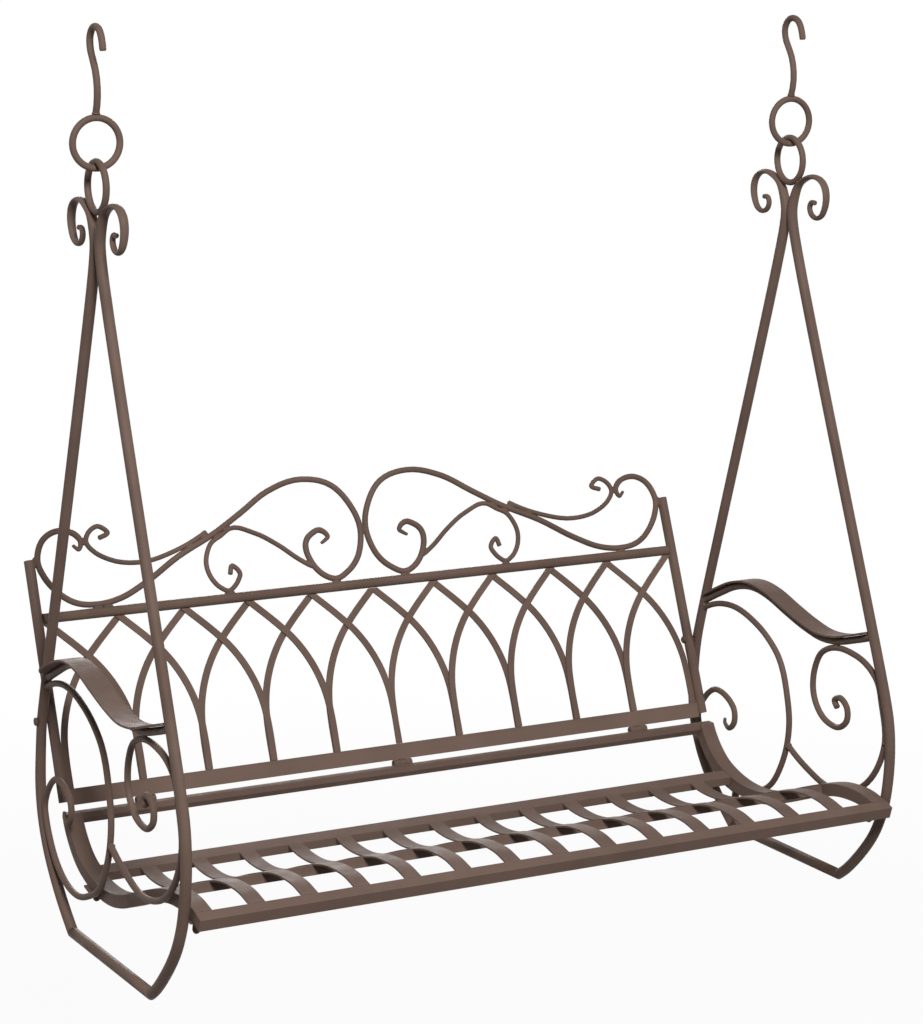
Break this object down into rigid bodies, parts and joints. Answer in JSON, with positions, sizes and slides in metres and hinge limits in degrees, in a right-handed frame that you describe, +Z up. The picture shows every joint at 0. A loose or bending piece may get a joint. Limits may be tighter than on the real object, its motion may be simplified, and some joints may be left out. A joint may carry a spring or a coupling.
{
  "type": "metal swing bench",
  "caption": "Hanging garden swing bench of bent steel rod: scrolled side frames with armrests, a curved slatted seat and a back of interlaced pointed arches under crest scrolls.",
  "frame": {"origin": "midway between the two ceiling hooks, level with the inside of their bends, where they rest on the ceiling eyes", "axes": "+X along the bench, to the right as seen from its open front, -Y towards the open front, +Z up"},
  "size_m": [1.284, 0.7135, 1.3898],
  "materials": {
    "coated_rod": "matte brown powder coat",
    "coated_strip": "matte brown powder coat",
    "coated_bolts": "matte brown powder coat"
  },
  "bodies": {
    "hook_left": {"hook_left": "coated_rod", "hook_ring_left": "coated_rod"},
    "bench": {"armrest_left": "coated_strip", "armrest_right": "coated_strip", "armrest_support_left": "coated_rod", "armrest_support_right": "coated_rod", "back_arch_01": "coated_strip", "back_arch_02": "coated_strip", "back_arch_03": "coated_strip", "back_arch_04": "coated_strip", "back_arch_05": "coated_strip", "back_arch_06": "coated_strip", "back_arch_07": "coated_strip", "back_arch_08": "coated_strip", "back_arch_09": "coated_strip", "back_arch_10": "coated_strip", "back_arch_11": "coated_strip", "back_bolt_left": "coated_bolts", "back_bolt_right": "coated_bolts", "back_bottom_rail": "coated_strip", "back_post_left": "coated_rod", "back_post_right": "coated_rod", "back_top_rail": "coated_rod", "bottom_bar_left": "coated_rod", "bottom_bar_right": "coated_rod", "crest_scroll_lower_left": "coated_rod", "crest_scroll_lower_right": "coated_rod", "crest_scroll_main_left": "coated_rod", "crest_scroll_main_right": "coated_rod", "crest_scroll_upper_left": "coated_rod", "crest_scroll_upper_right": "coated_rod", "front_hanger_left": "coated_rod", "front_hanger_right": "coated_rod", "front_scroll_left": "coated_rod", "front_scroll_right": "coated_rod", "hinge_pin_centre": "coated_bolts", "hinge_pin_left": "coated_bolts", "hinge_pin_right": "coated_bolts", "link_ring_left": "coated_rod", "link_ring_right": "coated_rod", "rear_hanger_left": "coated_rod", "rear_hanger_right": "coated_rod", "rear_scroll_left": "coated_rod", "rear_scroll_right": "coated_rod", "seat_bolt_front_left": "coated_bolts", "seat_bolt_front_right": "coated_bolts", "seat_bolt_rear_left": "coated_bolts", "seat_bolt_rear_right": "coated_bolts", "seat_front_rail": "coated_strip", "seat_lug_front_left": "coated_rod", "seat_lug_front_right": "coated_rod", "seat_lug_rear_left": "coated_rod", "seat_lug_rear_right": "coated_rod", "seat_middle_rail": "coated_strip", "seat_rear_rail": "coated_strip", "seat_side_rail_left": "coated_strip", "seat_side_rail_right": "coated_strip", "seat_slats": "coated_strip"},
    "hook_right": {"hook_right": "coated_rod", "hook_ring_right": "coated_rod"}
  },
  "joints": [
    {"name": "swing", "type": "hinge", "parent": "hook_left", "child": "bench", "pos_m": [-0.6, 0, -0.1979], "axis": [1, 0, 0], "range_deg": [-25, 25]},
    {"name": "right_hook_swing", "type": "hinge", "parent": "bench", "child": "hook_right", "pos_m": [0.6, 0, -0.1979], "axis": [1, 0, 0], "range_deg": [-25, 25]}
  ],
  "couplings": [
    {"joint": "right_hook_swing", "follows": "swing", "ratio": -1}
  ]
}
